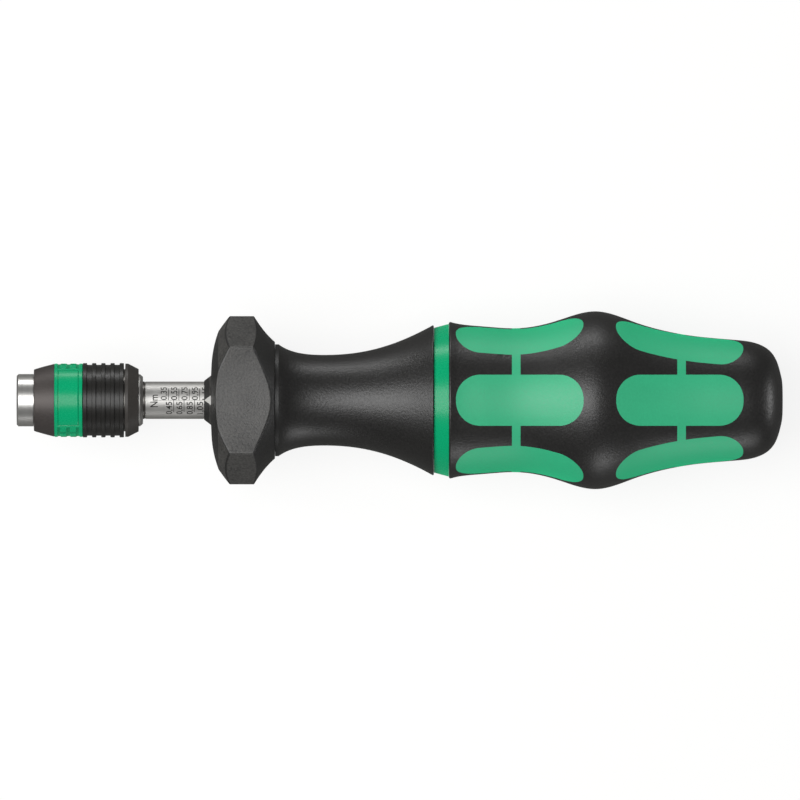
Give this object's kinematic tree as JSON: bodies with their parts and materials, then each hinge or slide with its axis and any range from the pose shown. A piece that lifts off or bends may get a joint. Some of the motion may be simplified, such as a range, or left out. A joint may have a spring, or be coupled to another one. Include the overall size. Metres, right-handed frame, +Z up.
{
  "type": "torque screwdriver",
  "caption": "Adjustable torque screwdriver with quick-release bit holder, scale sleeve, faceted adjusting collar and ball clutch in a contoured two-colour handle.",
  "frame": {"origin": "on the tool's axis at the front edge of the bit socket", "axes": "+X along the axis from the bit socket toward the handle, +Z up as the tool lies on its side, +Y sideways"},
  "size_m": [0.155, 0.036, 0.036],
  "materials": {
    "bright_steel": "turned and polished steel",
    "dark_steel": "oiled hardened steel",
    "black_aluminium": "black anodised turned aluminium",
    "brass": "turned brass or bronze",
    "black_plastic": "fine matt moulded black plastic",
    "green_plastic": "smooth moulded green plastic",
    "black_rubber": "black rubber ring",
    "green_rubber": "soft matt green elastomer"
  },
  "bodies": {
    "handle_body": {"handle_shell": "black_plastic", "front_grip_inlay": "green_rubber", "rear_grip_inlay": "green_rubber", "colour_ring": "green_plastic", "front_housing": "black_plastic", "collar_thrust_washer": "black_plastic", "collar_retaining_ring": "dark_steel", "collar_friction_ring": "black_rubber", "mechanism_tube": "dark_steel", "guide_bush": "dark_steel", "spring_seat_washer": "dark_steel", "main_spring": "dark_steel", "rear_bearing": "brass", "bearing_snap_ring": "dark_steel"},
    "collar_body": {"adjusting_collar": "black_plastic", "collar_nut": "brass"},
    "scale_body": {"scale_sleeve": "bright_steel", "thrust_washer": "dark_steel"},
    "spindle_body": {"spindle": "bright_steel", "bit_magnet": "bright_steel", "chuck_stop_ring": "bright_steel", "release_spring": "dark_steel", "clutch_disc": "dark_steel", "spindle_nut": "bright_steel"},
    "clutch_body": {"clutch_ring": "dark_steel", "clutch_balls": "bright_steel"},
    "release_body": {"lock_sleeve": "dark_steel", "sleeve_snap_ring": "dark_steel", "sleeve_rear_ring": "black_aluminium"},
    "grip_body": {"sleeve_nose": "black_aluminium", "sleeve_band": "green_plastic", "sleeve_grip": "black_aluminium"},
    "left_ball_body": {"lock_ball_left": "bright_steel"},
    "right_ball_body": {"lock_ball_right": "bright_steel"}
  },
  "joints": [
    {"name": "collar_turn", "type": "hinge", "parent": "handle_body", "child": "collar_body", "pos_m": [0.045, 0, 0], "axis": [1, 0, 0], "range_deg": [-2700, 540], "deforming": ["main_spring"]},
    {"name": "scale_slide", "type": "slide", "parent": "handle_body", "child": "scale_body", "axis": [-1, 0, 0], "range_m": [-0.00788, 0.00158], "deforming": ["main_spring"]},
    {"name": "clutch_slip", "type": "hinge", "parent": "scale_body", "child": "spindle_body", "pos_m": [0.06, 0, 0], "axis": [1, 0, 0], "continuous": true},
    {"name": "clutch_lift", "type": "slide", "parent": "scale_body", "child": "clutch_body", "axis": [-1, 0, 0], "range_m": [0, 0.0005], "stiffness_N_per_m": 200, "springref_m": -0.002, "deforming": ["main_spring"]},
    {"name": "sleeve_release", "type": "slide", "parent": "spindle_body", "child": "release_body", "axis": [-1, 0, 0], "range_m": [0, 0.003], "stiffness_N_per_m": 800, "springref_m": -0.001, "deforming": ["release_spring"]},
    {"name": "grip_spin", "type": "hinge", "parent": "release_body", "child": "grip_body", "pos_m": [0.012, 0, 0], "axis": [1, 0, 0], "continuous": true},
    {"name": "left_ball_lift", "type": "slide", "parent": "spindle_body", "child": "left_ball_body", "axis": [0, 1, 0], "range_m": [0, 0.0006]},
    {"name": "right_ball_lift", "type": "slide", "parent": "spindle_body", "child": "right_ball_body", "axis": [0, -1, 0], "range_m": [0, 0.0006]}
  ],
  "couplings": [
    {"joint": "collar_turn", "follows": "scale_slide", "rad_per_m": 5984},
    {"joint": "left_ball_lift", "follows": "sleeve_release", "ratio": 0.2},
    {"joint": "right_ball_lift", "follows": "sleeve_release", "ratio": 0.2}
  ]
}
